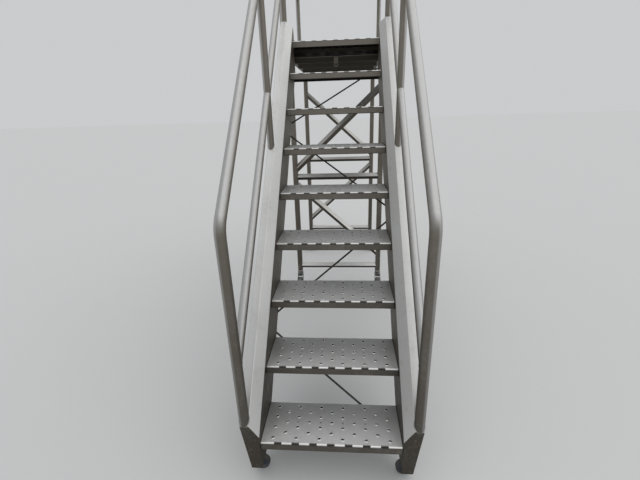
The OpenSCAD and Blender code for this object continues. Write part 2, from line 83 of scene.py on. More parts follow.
class Wire:
    """One output of a shader node. Sums and products of wires and numbers add Math nodes."""

    def __init__(self, tree, socket):
        self.tree = tree
        self.socket = socket

    def node(self, kind, settings, values, out=0):
        """Adds a node of a kind: its settings first, then numbers, colours or wires for its sockets."""
        made = self.tree.nodes.new("ShaderNode" + kind)
        for key, value in settings.items():
            setattr(made, key, value)
        for key, value in values.items():
            if isinstance(value, Wire):
                self.tree.links.new(value.socket, made.inputs[key])
            else:
                made.inputs[key].default_value = value
        return Wire(self.tree, made.outputs[out])

    def op(self, operation, *values, clamp=False):
        """A Math node on these values."""
        return self.node("Math", {"operation": operation, "use_clamp": clamp}, dict(enumerate(values)))

    def __add__(self, other):
        return self.op("ADD", self, other)

    def __mul__(self, other):
        return self.op("MULTIPLY", self, other)

    def __sub__(self, other):
        return self.op("SUBTRACT", self, other)

    def __rsub__(self, other):
        return self.op("SUBTRACT", other, self)

    __radd__ = __add__
    __rmul__ = __mul__

    def beside(self, name):
        """Another output of the same node."""
        return Wire(self.tree, self.socket.node.outputs[name])

    def floor(self):
        return self.op("FLOOR", self)

    def clamp(self):
        return self.op("ADD", self, 0.0, clamp=True)

    def step(self, low, high):
        """0 below low, 1 above high, and a smooth rise between them."""
        return self.node("MapRange", {"interpolation_type": "SMOOTHSTEP"}, {0: self, 1: low, 2: high})

    def mix(self, none, full):
        """A colour that goes from none to full as this wire goes from 0 to 1."""
        return self.node("Mix", {"data_type": "RGBA"}, {0: self, 6: none, 7: full}, out=2)

    def axis(self, n):
        """Component n of a vector."""
        return self.node("SeparateXYZ", {}, {0: self}, out=n)

    def cloud(self, scale, detail=2.0, stretch=(1, 1, 1)):
        """Soft noise from 0 to 1, with its grains drawn out where stretch is below 1."""
        place = self.node("Mapping", {}, {0: self, 3: stretch})
        return place.node("TexNoise", {}, {"Vector": place, "Scale": scale, "Detail": detail})


def rgb(*tone):
    return (*tone, 1.0)


def material(name):
    """An empty material with a Principled shader, and the wire of its Object coordinates."""
    made = bpy.data.materials.new(name)
    made.use_nodes = True
    tree = made.node_tree
    shader = tree.nodes["Principled BSDF"]
    place = Wire(tree, tree.nodes.new("ShaderNodeTexCoord").outputs["Object"])
    return made, shader, place


def feed(shader, place, values):
    """Puts numbers, colours or wires on a shader's sockets."""
    for key, value in values.items():
        if isinstance(value, Wire):
            place.tree.links.new(value.socket, shader.inputs[key])
        else:
            shader.inputs[key].default_value = value


floor_mesh = bpy.data.meshes.new("floor")
corners = FLOOR_REACH * np.array([(-1, -1, 0), (1, -1, 0), (1, 1, 0), (-1, 1, 0)])
floor_mesh.from_pydata(corners.tolist(), [], [(0, 1, 2, 3)])
floor = bpy.data.objects.new("floor", floor_mesh)
link(floor)
slab, slab_shader, slab_place = material("pale_slab")
feed(slab_shader, slab_place, {"Base Color": rgb(*FLOOR_TONE), "Roughness": 0.9, "Specular IOR Level": 0.2})
floor_mesh.materials.append(slab)

world = bpy.data.worlds.new("even_light")
bpy.context.scene.world = world
world.use_nodes = True
sky = world.node_tree.nodes["Background"]
sky.inputs["Color"].default_value = rgb(*SKY_TONE)
sky.inputs["Strength"].default_value = SKY_LEVEL

sun = bpy.data.objects.new("cloudy_zenith", bpy.data.lights.new("cloudy_zenith", "SUN"))
sun.data.angle = SUN_WIDTH
sun.data.energy = SUN_POWER
sun.rotation_euler = (0, SUN_TILT, 0)
link(sun)

# The stringers are boxes folded from 3 mm stainless sheet and pickled, with a narrow back, a wall that leans
# out, a flat top and a slanted face towards the treads. The foot is cut level and is open for the wheel,
# and the top end is cut square to the flight and then upright where it meets the tower.
X, Y, Z = np.eye(3)
BOTH = ((1, "right"), (-1, "left"))
CLEAR = 0.300
RISE, GOING = 0.2222, 0.211
SHEET = 0.003
FOLD_UP, SLANT, FLAT = 0.026, 0.042, 0.038
BACK_DOWN, BACK_W = 0.195, 0.027
FOLD_R = 0.004
FOOT_Z = 0.080
STEPS = 9
pitch = math.atan2(RISE, GOING)
nose_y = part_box("tread_1")[0].y
deck_z = STEPS * RISE
deck_y = nose_y + (STEPS - 1) * GOING
flat_up = FOLD_UP + SLANT
string_lo, string_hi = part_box("stringer_right")
string_front, string_end, string_top = string_lo.y, string_hi.y, string_hi.z

# Steel's light tone is for faces that look up. The shade tone on faces that turn away from up and the nearly
# black tone on faces that look down are painted shade, and OPEN_SIDE is the share of the light tone in the
# painted shade of open sides.
STEEL_LIGHT = (0.60, 0.60, 0.585)
STEEL_FILM = (0.205, 0.188, 0.164)
STEEL_UNDER = (0.047, 0.042, 0.034)
TEA_STAIN = (0.33, 0.27, 0.20)
OPEN_SIDE = 0.55


def line_z(y, up):
    """Height at y of the line that runs parallel to the flight, square distance up above the nosings."""
    return RISE + (y - nose_y) * math.tan(pitch) + up / math.cos(pitch)


def unit(v):
    """Vectors of length 1 in the directions of v."""
    return v / np.linalg.norm(v, axis=-1, keepdims=True)


def rounded(points, radii, steps=4, closed=True):
    """An outline whose corners are arcs: at a corner p with unit sides u and v and half angle h, the arc
    touches the sides r / tan h from p, and its centre is r / sin h from p along u + v. Its points turn
    evenly from one side to the other. An open line keeps its two end points."""
    points = np.asarray(points, float)
    radii = np.broadcast_to(radii, len(points))
    inner = slice(None) if closed else slice(1, -1)
    before, after = np.roll(points, 1, 0)[inner], np.roll(points, -1, 0)[inner]
    corner, r = points[inner], radii[inner][:, None]
    u, v = unit(before - corner), unit(after - corner)
    half = np.arccos(np.clip((u * v).sum(1), -1, 1))[:, None] / 2
    middle = corner + unit(u + v) * r / np.sin(half)
    a, b = corner + u * r / np.tan(half) - middle, corner + v * r / np.tan(half) - middle
    share = np.linspace(0, 1, steps + 1)[None, :, None]
    turn = (math.pi - 2 * half)[:, :, None]
    arc = (np.sin((1 - share) * turn) * a[:, None] + np.sin(share * turn) * b[:, None]) / np.sin(turn)
    line = (middle[:, None] + arc).reshape(-1, points.shape[1])
    return line if closed else np.vstack([points[:1], line, points[-1:]])


def between(rings):
    """Quads between each ring of points and the next, all the way round."""
    rings = np.asarray(rings)
    onward = np.roll(rings, -1, 1)
    return np.stack([rings[:-1], onward[:-1], onward[1:], rings[1:]], axis=2).reshape(-1, 4, 3)


def cut_bar(outline, start, along, side, up, cuts):
    """A bar sawn off by flat cuts. Each corner (a, b) of it draws a line: start + a side + b up + s along.
    A cut (normal, depth) keeps what has normal . p <= depth, so it ends s where normal . along > 0 and
    begins it where that is < 0. Where two cuts share an end, the section gets a corner at their crease.
    Gives the walls, and one cap for each cut."""
    outline = np.asarray(outline, float)
    start, along, side, up = (np.asarray(v, float) for v in (start, along, side, up))
    normals = np.array([c[0] for c in cuts], float)
    depths = np.array([c[1] for c in cuts], float)
    rate = normals @ along

    def reach(section):
        base = start + section[:, :1] * side + section[:, 1:] * up
        return base, (depths - base @ normals.T) / rate

    for sign in (1, -1):
        ends = np.flatnonzero(sign * rate > 0)
        for _ in ends[1:]:
            _, s = reach(outline)
            first = ends[np.argmin(sign * s[:, ends], axis=1)]
            row, then = np.arange(len(s)), np.roll(first, -1)
            gap, gap_next = (reached[row, first] - reached[row, then] for reached in (s, np.roll(s, -1, 0)))
            new = np.flatnonzero((first != then) & (np.abs(gap) > 1e-9) & (np.abs(gap_next) > 1e-9))
            share = (gap / np.where(gap == gap_next, 1, gap - gap_next))[new, None]
            fresh = outline[new] + share * (np.roll(outline, -1, 0)[new] - outline[new])
            outline = np.insert(outline, new + 1, fresh, axis=0)

    base, s = reach(outline)
    high = s[:, rate > 0].min(1)
    low = s[:, rate < 0].max(1)
    top, bottom = base + high[:, None] * along, base + low[:, None] * along
    walls = between([bottom, top])
    caps = []
    for k in range(len(cuts)):
        level_end, ring, order = (high, top, 1) if rate[k] > 0 else (low, bottom, -1)
        on = np.abs(s[:, k] - level_end) < 1e-7
        caps.append(ring[on][::order][None] if on.sum() > 2 else np.zeros((0, 3, 3)))
    return walls, caps


def solid(name, stacks, smooth=35, thick=None, bevel=None):
    """Joins stacks of polygons, each an array (count, corners, 3), at their shared corners into one mesh.
    A sheet can be given its thickness inwards, and edges sharper than 40 degrees a small round. Edges
    sharper than smooth degrees don't shade as round."""
    stacks = [s for s in stacks if len(s)]
    corners = np.concatenate([s.reshape(-1, 3) for s in stacks])
    faces, at = [], 0
    for s in stacks:
        faces += (at + np.arange(s.shape[0] * s.shape[1]).reshape(s.shape[:2])).tolist()
        at += s.shape[0] * s.shape[1]
    mesh = bpy.data.meshes.new(name)
    mesh.from_pydata(corners.tolist(), [], faces)
    work = bmesh.new()
    work.from_mesh(mesh)
    bmesh.ops.remove_doubles(work, verts=work.verts, dist=4e-6)
    work.to_mesh(mesh)
    work.free()
    made = bpy.data.objects.new(name, mesh)
    link(made)
    if thick:
        wall = made.modifiers.new("thickness", "SOLIDIFY")
        wall.thickness = thick
        wall.offset = -1
        wall.use_even_offset = True
    if bevel:
        edge = made.modifiers.new("edges", "BEVEL")
        edge.width = bevel
        edge.segments = 2
        edge.limit_method = "ANGLE"
        edge.angle_limit = math.radians(40)
    if thick or bevel:
        seen = made.evaluated_get(bpy.context.evaluated_depsgraph_get())
        made.data = bpy.data.meshes.new_from_object(seen)
        made.data.name = name
        made.modifiers.clear()
    made.data.polygons.foreach_set("use_smooth", np.ones(len(made.data.polygons), bool))
    made.data.set_sharp_from_angle(angle=math.radians(smooth))
    flat = made.modifiers.new("flat_faces", "WEIGHTED_NORMAL")
    flat.keep_sharp = True
    return made


def put(name, stacks, body, finish, slot, node, **shape):
    """Makes a piece and fixes it to its body, in its finish, in place of the plain node it stands for."""
    piece = solid(name, stacks, **shape)
    piece.data.materials.append(finish)
    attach(piece, body)
    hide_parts(node)


def steel(name, light=STEEL_LIGHT, film=STEEL_FILM, rough=0.36, grain=(1, 1, 1), stain=0.5, clean=0.42):
    """Pickled stainless with painted light: its light tone where it looks up, a brown painted shade on faces
    that turn away from up, darker towards the bottom and paler on the open outer sides and on faces that look
    along
    +Y, and a nearly black painted shade where it looks down. Grain is the direction of the brushing, drawn
    out where it is small. Gives the material, its shader, its place, its colour and its roughness."""
    made, shader, place = material(name)
    facing = place.beside("Normal")
    up = facing.axis(2)
    patch = place.cloud(5.0, 4.0)
    fleck = place.cloud(60.0, 3.0)
    brushing = place.cloud(900.0, 2.0, grain)
    # Painted shade on faces that turn away from up; the same mask makes them a little rougher and more tea
    # stained. Random patches, flecks and brushing vary the tone.
    dull = 1 - (up + 0.25 * (patch - 0.5)).step(0.05, clean)
    tone = (dull + 0.22 * (fleck - 0.5) + 0.30 * (patch - 0.5) + 0.10 * (brushing - 0.5)).clamp()
    # On outward sides and on faces looking along +Y the painted shade is paler, mixed with the light tone by
    # OPEN_SIDE.
    outside = ((facing.axis(0) * place.axis(0)).step(0.05, 0.20) + facing.axis(1).step(0.2, 0.7)).clamp()
    washed = rgb(*(OPEN_SIDE * l + (1 - OPEN_SIDE) * f for l, f in zip(light, film)))
    film = outside.mix(rgb(*film), washed)
    # The painted shade is darker towards the bottom and lighter higher up.
    splashed = 0.70 + 0.60 * place.axis(2).step(0.0, 1.9)
    film = film.node("VectorMath", {"operation": "SCALE"}, {0: film, "Scale": splashed})
    colour = tone.mix(rgb(*light), film)
    tea = place.cloud(23.0, 4.0).step(0.60, 0.78) * stain * (0.25 + 0.5 * dull)
    colour = tea.mix(colour, rgb(*TEA_STAIN))
    # Painted shade: faces that look down are nearly black.
    colour = (0 - up).step(0.25, 0.75).mix(colour, rgb(*STEEL_UNDER))
    height = brushing * 0.6 + fleck * 0.4
    bump = place.node("Bump", {}, {"Strength": 0.10, "Distance": 0.0006, "Height": height})
    roughness = rough + 0.16 * patch + 0.10 * dull + 0.08 * (brushing - 0.5)
    feed(shader, place, {"Base Color": colour, "Metallic": 1.0, "Normal": bump, "Roughness": roughness})
    return made, shader, place, colour, roughness


along_flight = np.array([0, math.cos(pitch), math.sin(pitch)])
square_up = np.array([0, -math.sin(pitch), math.cos(pitch)])
stringer_steel = steel("stringer_sheet", film=(0.120, 0.106, 0.086), grain=(1.0, 0.12, 0.12), stain=0.9)[0]
section = rounded([(0, -BACK_DOWN), (BACK_W, -BACK_DOWN), (SLANT + FLAT, flat_up), (SLANT, flat_up),
                   (0, FOLD_UP)], FOLD_R)
top_corner = np.array([0, nose_y + (string_top - line_z(nose_y, flat_up)) / math.tan(pitch), string_top])
square_cut = (along_flight, along_flight @ top_corner)
string_cuts = [(Y, string_end), square_cut, (-Y, -string_front), (-Z, -FOOT_Z)]
walls, caps = cut_bar(section, (CLEAR, nose_y, RISE), along_flight, X, square_up, string_cuts)
for side, word in BOTH:
    skins = [(s * (side, 1, 1))[:, ::-side] for s in (walls, *caps[:3])]
    put("stringer_skin_" + word, skins, "frame", stringer_steel, "stringer", "stringer_" + word,
        thick=SHEET, bevel=0.0012)

# A tread is one stainless sheet folded into a pan: a lip, an apron, the nosing, the top, and an apron and a
# lip at the back. It was punched flat, with grip holes that are pushed up into sharp collars, small drain
# holes and a notched nosing. It stands between the stringers and is welded to them from behind.
TREAD_D, APRON_H, LIP = 0.230, 0.040, 0.015
HOLE_R, COLLAR_R, COLLAR_H, DRAIN_R, HOLE_DEEP = 0.0057, 0.0090, 0.0012, 0.0030, 0.0060
HOLE_PITCH, ROWS = 0.100, 7
NOTCH_W, NOTCH_PITCH, NOTCH_IN, NOTCH_DOWN = 0.032, 0.075, 0.0028, 0.0066
NOSE_R, NOSE_BACK, BEND_STEPS, PATCH, AROUND = 0.005, 0.009, 6, 0.012, 24
COLLAR = [(COLLAR_R, 0), (0.0085, 0.00015), (0.0073, 0.0009), (0.0067, COLLAR_H), (0.0062, COLLAR_H),
          (HOLE_R, COLLAR_H - 0.0005), (HOLE_R, -HOLE_DEEP)]
DRAIN = [(DRAIN_R + 0.0006, 0), (DRAIN_R, -0.0005), (DRAIN_R, -HOLE_DEEP)]
# A painted shade for the walls of the holes:
HOLE_BLACK = (0.010, 0.009, 0.008)
SOFT_EDGE = 0.0012
row_pitch = TREAD_D / (ROWS + 1)


def stops(pitch_x, count, half):
    """Both edges of bands across the clear width, a pitch apart and count on each side of the middle one,
    and the two ends of the width."""
    middles = pitch_x * np.arange(-count, count + 1)
    return np.sort([-CLEAR, *(middles - half), *(middles + half), CLEAR])


hole_lines = stops(HOLE_PITCH / 2, 5, PATCH)
notch_lines = stops(NOTCH_PITCH, 3, NOTCH_W / 2)


def arc(n, start, stop, u=(1, 0), v=(0, 1)):
    """n points of a circle of radius 1 from angle start to stop: each is cos a along u and sin a along v."""
    a = np.linspace(start, stop, n)[:, None]
    return np.cos(a) * u + np.sin(a) * v


def circle(n, u=(1, 0), v=(0, 1), start=0.0):
    """Such an arc all the way round, whose n points don't come back to the first."""
    return arc(n + 1, start, start + math.tau, u, v)[..., :-1, :]


def cells(u, v, keep=None):
    """Quads between the lines u across and the points v = (y, z) of a profile, less those not kept."""
    grid = np.empty((len(u), len(v), 3))
    grid[..., 0] = np.asarray(u)[:, None]
    grid[..., 1:] = np.asarray(v)[None]
    quads = np.stack([grid[:-1, :-1], grid[1:, :-1], grid[1:, 1:], grid[:-1, 1:]], axis=2)
    if keep is not None:
        quads = quads[np.broadcast_to(keep, quads.shape[:2])]
    return quads.reshape(-1, 4, 3)


def hole_patches(centres, levels):
    """Square patches with a round hole. The quarter circles k turn by k * 90 degrees, and each makes a
    polygon with two corners of the square. The levels (radius, height) go on inwards from there."""
    rings = [np.insert(r * circle(AROUND, start=-math.pi / 4), 2, h, axis=1) for r, h in levels]
    part = AROUND // 4
    quarter = (part * np.arange(4)[:, None] + np.arange(part + 1)[::-1]) % AROUND
    square = PATCH * np.array([(1, -1, 0), (1, 1, 0), (-1, 1, 0), (-1, -1, 0)])
    corners = np.stack([square, np.roll(square, -1, 0)], axis=1)
    flats = np.concatenate([corners, rings[0][quarter]], axis=1)
    skins = (centres[:, None, None] + patch for patch in (flats, between(rings)))
    return [s.reshape(-1, *s.shape[2:]) for s in skins]


def nosing(path, y, z):
    """A folded nosing at y: the path (back, down) runs up over it. At each notch the fold is pressed in, so
    that its points between NOTCH_DOWN and the flat top move back and down by NOTCH_IN, and upright walls
    close the notch at both ends."""
    line = rounded([*path, (NOSE_BACK - 0.0005, 0)], NOSE_R, steps=BEND_STEPS, closed=False)
    bend = len(line) - BEND_STEPS - 2
    line = np.vstack([line[:bend], [(0, -NOTCH_DOWN)], line[bend:], [(NOSE_BACK, 0)]])
    pressed = line.copy()
    pressed[bend + 1:-2] += NOTCH_IN * np.array([1, -1])
    lands, dips = line + (y, z), pressed + (y, z)
    notched = np.arange(len(notch_lines) - 1)[:, None] % 2 == 1
    flank = np.stack([lands[:-1], lands[1:], dips[1:], dips[:-1]], axis=1)[bend:-1]
    walls = [np.insert(flank, 0, x, axis=2)[:, ::way]
             for way, ends in ((-1, notch_lines[1:-1:2]), (1, notch_lines[2:-1:2])) for x in ends]
    return np.concatenate([cells(notch_lines, lands, ~notched), cells(notch_lines, dips, notched), *walls])


def punched(path, start, z, rows, pitch_y, lines, shoulder=None):
    """A sheet's nosing at start and its flat top at height z: a margin, then rows of six and five grip holes
    in turn, and drain holes in the middle row, with the plain cells around them. Outside the clear width
    the sheet begins at its shoulder. Gives the skins, and where the last row's band ends."""
    centres, drains, levels = [], [], [] if shoulder is None else [shoulder]
    for row in range(1, rows + 1):
        y = start + row * pitch_y
        count = 6 - (row + 1) % 2
        centres += [((i - (count - 1) / 2) * HOLE_PITCH, y, z) for i in range(count)]
        if row == (rows + 1) // 2:
            drains += [((i - 1.5) * HOLE_PITCH, y, z) for i in range(4)]
        levels += [y - PATCH, y + PATCH]
    centres, drains, levels = np.array(centres), np.array(drains), np.sort(levels)
    mid_x, mid_y = (lines[1:] + lines[:-1])[:, None] / 2, (levels[1:] + levels[:-1]) / 2
    holes = np.vstack([centres, drains])
    keep = np.hypot(mid_x[..., None] - holes[:, 0], mid_y[..., None] - holes[:, 1]).min(-1) > PATCH / 2
    if shoulder is not None:
        keep &= (np.abs(mid_x) < CLEAR) | (mid_y > shoulder)
    flat = cells(lines, np.insert(levels[:, None], 1, z, axis=1), keep)
    across = np.concatenate([notch_lines, hole_lines[::-1]])
    back = np.repeat([start + NOSE_BACK, levels[0]], [len(notch_lines), len(hole_lines)])
    margin = np.stack([across, back, np.full(len(across), z)], 1)[None]
    patches = hole_patches(centres, COLLAR) + hole_patches(drains, DRAIN)
    return [nosing(path, start, z), margin, flat, *patches], levels[-1]


def walked(name, back, jointed=False):
    """The steel of a step's sheet. The step's number is the height over the rise, rounded, and gives the
    place over and behind its own nosing. The nosing lands and collar tops are worn bright, with a painted
    highlight on them; painted shade darkens the notches, a line under the nosing, the holes and the inside of
    the pan, which ends at back; and the joint with the stringers is drawn dark, if jointed."""
    made, shader, place, colour, roughness = steel(name, light=(0.62, 0.62, 0.61), rough=0.46,
                                                   grain=(0.06, 1.0, 1.0), stain=0.6)
    x, y, z = place.axis(0), place.axis(1), place.axis(2)
    number = ((z + 0.1) * (1 / RISE)).floor()
    above, behind = z - number * RISE, y - nose_y - (number - 1) * GOING
    edge = above.step(-NOSE_R - SOFT_EDGE, -NOSE_R) * (1 - behind.step(NOSE_R, NOSE_R + SOFT_EDGE))
    phase = x * (1 / NOTCH_PITCH)
    from_notch = phase - (phase + 0.5).floor()
    notch = (1 - (from_notch * from_notch).step(0.043, 0.048)) * (1 - (x * x).step(0.262 ** 2, 0.266 ** 2))
    # Nosing lands and collar tops: real wear, with a painted highlight on them.
    polished = (edge * (1 - notch) + above.step(0.0002, 0.0005)).clamp()
    # A painted shadow line under the nosing's land. With jointed, a dark joint at the stringers is added to
    # it.
    line = above.step(-0.0080, -0.0070) * (1 - above.step(-0.0064, -0.0056)) * (1 - behind.step(0.001, 0.002))
    # Painted shade on the inside of the pan.
    inside = (0 - above).step(SHEET * 0.90, SHEET) * behind.step(SHEET * 0.90, SHEET)
    level_face = place.beside("Normal").axis(2).step(0.3, 0.6)
    # Painted shade in the holes: their walls are near black.
    hole = (1 - level_face) * above.step(-HOLE_DEEP - 0.001, -HOLE_DEEP) * behind.step(0.0095, 0.0105)
    before_back = 1 - behind.step(back - SHEET, back - SHEET * 0.90)
    if jointed:
        line = line + (x * x).step(0.2968 ** 2, 0.2984 ** 2)
    colour = polished.mix(colour, rgb(0.75, 0.74, 0.725))
    # Painted shade in the notches of the nosing.
    colour = (edge * notch).mix(colour, rgb(*STEEL_FILM))
    colour = (line + inside * before_back).clamp().mix(colour, rgb(*STEEL_UNDER))
    colour = (hole * before_back).mix(colour, rgb(*HOLE_BLACK))
    feed(shader, place, {"Base Color": colour, "Roughness": roughness - 0.12 * polished})
    return made


tread_steel = walked("tread_sheet", back=TREAD_D, jointed=True)
for i in range(1, STEPS):
    y, z = nose_y + (i - 1) * GOING, i * RISE
    skins, last = punched([(LIP, -APRON_H), (0, -APRON_H), (0, 0)], y, z, ROWS, row_pitch, hole_lines)
    end, low = y + TREAD_D, z - APRON_H
    fold = rounded([(last, z), (end, z), (end, low), (end - LIP, low)], FOLD_R, closed=False)
    skins.append(cells(hole_lines, fold))
    put("tread_pan_%d" % i, skins, "frame", tread_steel, "tread", "tread_%d" % i, thick=SHEET, smooth=40)

# The platform's floor is one more punched sheet: a tongue with a notched nosing between the stringers, and
# behind them the full width. Its far edge is folded down to the depth of the ribs.
DECK_H, DECK_ROWS, DECK_HALF = 0.060, 19, 0.360
deck_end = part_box("deck_ribs")[1].y
deck_lines = np.concatenate([[-DECK_HALF], hole_lines, [DECK_HALF]])
skins, last = punched([(0, -APRON_H), (0, 0)], deck_y, deck_z, DECK_ROWS, 2 * row_pitch, deck_lines,
                      shoulder=string_end)
fold = rounded([(last, deck_z), (deck_end, deck_z), (deck_end, deck_z - DECK_H)], FOLD_R, closed=False)
skins.append(cells(deck_lines, fold))
deck_steel = walked("deck_sheet", back=deck_end - deck_y)
put("deck_skin", skins, "frame", deck_steel, "deck_sheet", "deck", thick=SHEET, smooth=40)

# Plates stand across under the platform's floor. Each is a strip of sheet with a flange folded along its
# lower edge and cropped corners, tacked to the floor and to the toe boards. What is up there is darker, with
# painted shade.
RIB_CROP, FLANGE = 0.012, 0.020
WELD_R, RIPPLE = 0.0022, 0.007
plate_steel = steel("plate_sheet", film=(0.240, 0.215, 0.185), grain=(0.10, 1.0, 1.0), stain=0.4)[0]
# A shaded copy of the steel for the parts under the platform: its darker tones are painted shade.
sooty_steel = steel("shaded_sheet", light=(0.36, 0.34, 0.31), film=(0.105, 0.092, 0.076), stain=0.3)[0]


def extrude(outline, origin, side, up, along, depth):
    """A flat outline (a, b) placed as origin + a side + b up, and drawn out by depth along a direction."""
    outline = np.asarray(outline, float)
    near = origin + outline[:, :1] * side + outline[:, 1:] * up
    far = near + depth * along
    skins = [between([near, far]), near[::-1][None], far[None]]
    return [s[:, ::-1] for s in skins] if np.cross(side, up) @ along < 0 else skins


def weld(points, radius=WELD_R, closed=False):
    """A bead of weld along a line: a round of eight sides, whose radius swells by a fifth every ripple."""
    points = np.asarray(points, float)
    if closed:
        points = np.vstack([points, points[:1]])
    run = np.concatenate([[0], np.cumsum(np.linalg.norm(np.diff(points, axis=0), axis=1))])
    s = np.linspace(0, run[-1], max(4, int(run[-1] / RIPPLE * 3)))
    line = np.stack([np.interp(s, run, points[:, k]) for k in range(3)], 1)
    ahead = np.gradient(line, axis=0)
    ripple = RIPPLE
    if closed:
        ahead[[0, -1]] = line[1] - line[-2]
        ripple = run[-1] / max(1, round(run[-1] / RIPPLE))
    ahead = unit(ahead)
    u = unit(np.cross(ahead, np.eye(3)[np.argmin(np.abs(ahead).max(0))]))
    v = np.cross(ahead, u)
    r = radius * (1 + 0.2 * np.sin(s * math.tau / ripple))
    if not closed:
        r[[0, -1]] *= 0.3
    rings = line[:, None] + r[:, None, None] * circle(8, u[:, None], v[:, None])
    return [between(rings)] if closed else [between(rings), rings[0][None], rings[-1][::-1][None]]


upright = [(-DECK_HALF, -SHEET), (-DECK_HALF, -DECK_H + RIB_CROP), (-DECK_HALF + RIB_CROP, -DECK_H),
           (DECK_HALF - RIB_CROP, -DECK_H), (DECK_HALF, -DECK_H + RIB_CROP), (DECK_HALF, -SHEET)]
flange = rounded([(0, 0.004), (0, 0), (-FLANGE, 0), (-FLANGE, SHEET), (-SHEET, SHEET)], 0.001, steps=2)
skins = []
for y in np.linspace(string_end, deck_end, 5)[1:-1]:
    skins += extrude(upright, (0, y, deck_z), X, Z, -Y, SHEET)
    skins += extrude(flange, (FLANGE - DECK_HALF, y, deck_z - DECK_H), Y, Z, X, 2 * (DECK_HALF - FLANGE))
    for x in np.arange(-0.30, 0.31, 0.12):
        skins += weld([(x, y, deck_z - SHEET), (x + 0.025, y, deck_z - SHEET)])
put("rib_plates", skins, "frame", sooty_steel, "plate", "deck_ribs", bevel=0.0004)

# The toe boards are upright sheets along both sides of the platform, with rounded upper corners, a flange
# folded in under the floor, and a bead of weld where the floor meets them.
TOE_FLANGE, TOE_CROP = 0.022, 0.045
toe_lo, toe_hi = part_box("toe_boards")
toe_run = toe_hi.y - toe_lo.y - 2 * TOE_CROP


def oblong(a, b, a_far, b_far):
    """The four corners of an oblong between two opposite ones."""
    return [(a, b), (a_far, b), (a_far, b_far), (a, b_far)]


board = rounded(oblong(toe_lo.y, toe_lo.z, toe_hi.y, toe_hi.z), [0.001, 0.001, 0.015, 0.015], steps=5)
flange = rounded(oblong(0, 0, TOE_FLANGE, SHEET), 0.0008, steps=2)
for side, word in BOTH:
    x = side * (toe_hi.x - SHEET)
    skins = extrude(board, (x, 0, 0), Y, Z, side * X, SHEET)
    skins += extrude(flange, (x, toe_lo.y + TOE_CROP, toe_lo.z), -side * X, Z, Y, toe_run)
    for y in np.arange(toe_lo.y + 0.03, toe_hi.y - 0.05, 0.13):
        skins += weld([(x, y, deck_z), (x, y + 0.04, deck_z)])
    put("toe_board_" + word, skins, "frame", plate_steel, "deck_sheet", "toe_boards", bevel=0.0005)

# The tower is welded from square tube with rounded edges, closed by the tubes it meets. What runs across it
# lies on a corner, so that nothing settles on it: four beams under the platform, rails and diagonals. A flat
# lug with a hole hangs from the ridge of the nearest beam.
LEG, TUBE_R = 0.040, 0.005
ON_CORNER = Y + Z
tower_steel = steel("tower_tube", light=(0.68, 0.67, 0.65), film=(0.165, 0.148, 0.124),
                    grain=(0.5, 0.5, 0.12), stain=0.6)[0]


def square_tube(size, a, b, up, cuts=None, welded=False):
    """A square tube from a to b with rounded edges, one pair of sides square to up. It ends square, or is
    sawn off by cuts, and has a bead of weld round both ends if welded."""
    a, b = np.asarray(a, float), np.asarray(b, float)
    along = unit(b - a)
    side = unit(np.cross(along, up))
    h = size / 2
    walls, caps = cut_bar(rounded(oblong(-h, -h, h, h), TUBE_R), a, along, side, np.cross(side, along),
                          cuts or [(along, along @ b), (-along, -along @ a)])
    skins = [s[:, ::-1] for s in (walls, *caps)]
    if welded:
        for end in skins[1:3]:
            skins += weld(end[0], closed=True)
    return skins


beams_lo, beams_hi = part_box("side_beams")
beam_z = (beams_lo.z + beams_hi.z) / 2
leg_x = beams_hi.x - LEG / 2
skins = []
for x in (leg_x, -leg_x):
    skins += square_tube(LEG, (x, beams_lo.y, beam_z), (x, beams_hi.y, beam_z), Z)
put("side_beam_tubes", skins, "frame", sooty_steel, "tower_tube", "side_beams")

cross_lo, cross_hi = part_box("cross_beams")
half = (cross_hi.z - cross_lo.z) / 2
ridge_z = cross_lo.z + half
skins = []
for y in np.linspace(cross_lo.y + half, cross_hi.y - half, 4):
    skins += square_tube(half * math.sqrt(2), (cross_lo.x, y, ridge_z), (cross_hi.x, y, ridge_z), ON_CORNER,
                         welded=True)
put("cross_beam_tubes", skins, "frame", sooty_steel, "tower_tube", "cross_beams")

lug_lo, lug_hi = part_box("centre_lug")
lug_r = (lug_hi.x - lug_lo.x) / 2
lug_mid = (0, lug_lo.z + lug_r)
edge = np.vstack([lug_r * arc(25, -math.pi, 0) + lug_mid, [(x, lug_hi.z) for x in (lug_r, 0, -lug_r)]])
bore = lug_r / 2 * circle(32) + lug_mid
left_half = np.vstack([edge[:13], bore[24:7:-1], edge[-2:]])


def hung(line, y):
    """A line (x, z) of the lug, at y. Its upper edge lies on the beam's side, which falls at 45 degrees."""
    placed = np.insert(line, 1, y, axis=1)
    placed[line[:, 1] == lug_hi.z, 2] -= y - lug_lo.y
    return placed


skins = [between([hung(ring, lug_hi.y), hung(ring, lug_lo.y)]) for ring in (edge, bore[::-1])]
for y, way in ((lug_lo.y, 1), (lug_hi.y, -1)):
    skins += [hung(left_half * (mirror, 1), y)[::way * mirror][None] for mirror in (1, -1)]
skins += weld([(lug_lo.x, lug_lo.y, lug_hi.z), (lug_hi.x, lug_lo.y, lug_hi.z)])
put("lug_plate", skins, "frame", sooty_steel, "plate", "centre_lug", bevel=0.0008)

